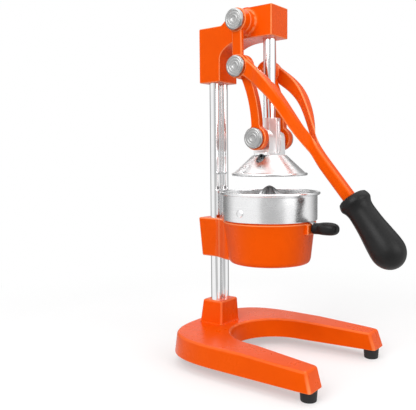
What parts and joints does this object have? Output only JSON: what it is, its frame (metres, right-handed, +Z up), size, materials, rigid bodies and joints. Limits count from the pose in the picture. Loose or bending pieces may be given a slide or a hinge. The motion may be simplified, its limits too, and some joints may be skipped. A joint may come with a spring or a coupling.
{
  "type": "lemon squeezer",
  "caption": "Free-standing lever press for citrus fruit: horseshoe base, twin columns, bowl with lift-out strainer, sliding press cone, curved links and a long forked handle.",
  "frame": {"origin": "on the table, under the middle of the bounding box of the press at rest", "axes": "+X to the front, where the handle points; +Y to the left of the press; +Z up"},
  "size_m": [0.2638, 0.188, 0.4095],
  "materials": {
    "orange_paint": "glossy powder coat",
    "polished_chrome": "polished",
    "turned_steel": "turned",
    "brushed_steel": "brushed",
    "cast_aluminium": "polished casting",
    "black_rubber": "matt",
    "black_grip": "satin",
    "dark_screws": "dark oxide",
    "pin_steel": "ground"
  },
  "bodies": {
    "frame": {"base_casting": "orange_paint", "feet": "black_rubber", "foot_screws": "dark_screws", "column_left": "polished_chrome", "column_right": "polished_chrome", "column_bolts": "dark_screws", "head_casting": "orange_paint", "head_set_screws": "dark_screws", "bowl_casting": "orange_paint", "bowl_set_screws": "dark_screws"},
    "strainer": {"strainer_ring": "brushed_steel", "strainer_basket": "brushed_steel", "reamer_cone": "cast_aluminium", "ring_rivets": "brushed_steel", "strainer_tab": "brushed_steel", "tab_grip": "black_grip"},
    "plunger": {"plunger_rod": "polished_chrome", "yoke_casting": "cast_aluminium", "yoke_set_screw": "dark_screws", "press_cone": "cast_aluminium", "press_cone_screws": "dark_screws", "lower_pin": "pin_steel", "lower_caps": "turned_steel"},
    "left_link": {"link_left": "orange_paint"},
    "right_link": {"link_right": "orange_paint"},
    "handle": {"handle_casting": "orange_paint", "handle_grip": "black_grip", "top_pin": "pin_steel", "top_caps": "turned_steel", "middle_pins": "pin_steel", "middle_caps": "turned_steel"}
  },
  "joints": [
    {"name": "handle_hinge", "type": "hinge", "parent": "frame", "child": "handle", "pos_m": [-0.04913, 0, 0.39292], "axis": [0, -1, 0], "range_deg": [0, 110]},
    {"name": "plunger_slide", "type": "slide", "parent": "frame", "child": "plunger", "axis": [0, 0, 1], "range_m": [0, 0.0716]},
    {"name": "left_link_hinge", "type": "hinge", "parent": "plunger", "child": "left_link", "pos_m": [-0.02893, 0.02625, 0.2619], "axis": [0, 1, 0], "range_deg": [0, 32.83]},
    {"name": "right_link_hinge", "type": "hinge", "parent": "plunger", "child": "right_link", "pos_m": [-0.02893, -0.02625, 0.2619], "axis": [0, 1, 0], "range_deg": [0, 32.83]},
    {"name": "strainer_lift", "type": "slide", "parent": "frame", "child": "strainer", "axis": [0, 0, 1], "range_m": [0, 0.018]}
  ],
  "couplings": [
    {"joint": "plunger_slide", "follows": "handle_hinge", "m_per_rad": 0.037289},
    {"joint": "left_link_hinge", "follows": "handle_hinge", "ratio": 0.29845},
    {"joint": "right_link_hinge", "follows": "handle_hinge", "ratio": 0.29845}
  ]
}
